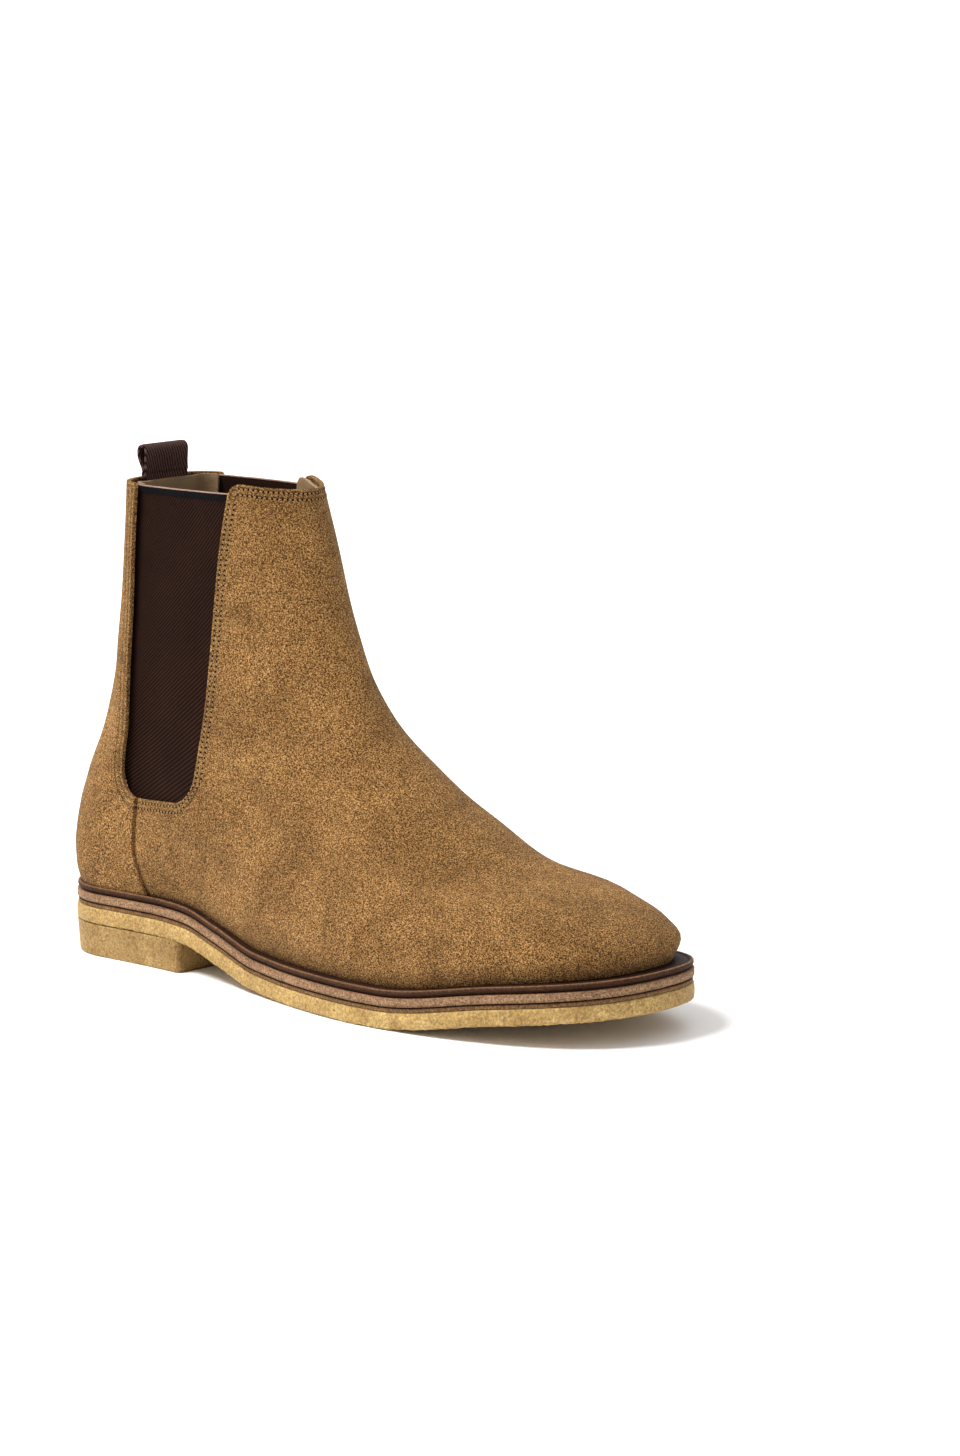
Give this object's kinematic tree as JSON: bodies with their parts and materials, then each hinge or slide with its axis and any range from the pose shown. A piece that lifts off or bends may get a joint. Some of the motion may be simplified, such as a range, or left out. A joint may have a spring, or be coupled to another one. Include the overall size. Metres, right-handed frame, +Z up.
{
  "type": "chelsea boot",
  "caption": "Ankle-high slip-on suede boot with elastic side gores, a webbing pull loop at the back, a leather welt and midsole, and a crepe rubber sole with a low heel.",
  "frame": {"origin": "middle of the footprint's box, on the floor the boot stands on", "axes": "+X to the toe, +Y to the medial side (the wearer's left, as this is a right boot), +Z up"},
  "size_m": [0.305, 0.1116, 0.2155],
  "materials": {
    "suede": "nubby tan suede with a soft uneven nap",
    "crepe": "honey crepe rubber, slightly translucent, with dark specks",
    "slip_sole": "thin brown runner between the midsole and the crepe",
    "midsole_leather": "undyed vegetable tanned leather with a cut and burnished edge",
    "welt_leather": "dark brown waxed leather",
    "cork": "pressed cork filler",
    "steel": "plain spring steel",
    "insole_leather": "flat insole leather",
    "lining_leather": "smooth beige lining leather",
    "counter_board": "leather board stiffener",
    "puff_board": "stiffened textile",
    "elastic": "dark brown fine ribbed elastic, black selvedge and back",
    "webbing": "dark brown twill webbing with lighter diagonal ribs"
  },
  "bodies": {
    "root": {"heel_block": "crepe", "outsole": "crepe", "slip_sole": "slip_sole", "midsole": "midsole_leather", "welt": "welt_leather", "cork_filler": "cork", "shank": "steel", "insole": "insole_leather", "sock_liner": "lining_leather", "front_panel": "suede", "heel_quarter": "suede", "front_lining": "lining_leather", "heel_lining": "lining_leather", "heel_counter": "counter_board", "toe_puff": "puff_board", "gore_lateral": "elastic", "gore_medial": "elastic", "heel_nail_1": "steel", "heel_nail_2": "steel", "heel_nail_3": "steel", "heel_nail_4": "steel", "heel_nail_5": "steel"},
    "shaft_back": {"shaft_back": "suede", "shaft_back_lining": "lining_leather", "pull_loop_tail": "webbing"},
    "pull_loop": {"pull_loop": "webbing"}
  },
  "joints": [
    {"name": "shaft_opening", "type": "hinge", "parent": "root", "child": "shaft_back", "pos_m": [-0.1417, 0.0019, 0.08785], "axis": [0, -1, 0], "range_deg": [0, 8], "stiffness_Nm_per_rad": 2, "deforming": ["gore_lateral", "gore_medial"]},
    {"name": "loop_bend", "type": "hinge", "parent": "shaft_back", "child": "pull_loop", "pos_m": [-0.11635, 0.0019, 0.204], "axis": [0, 1, 0], "range_deg": [-70, 70], "stiffness_Nm_per_rad": 0.003}
  ]
}
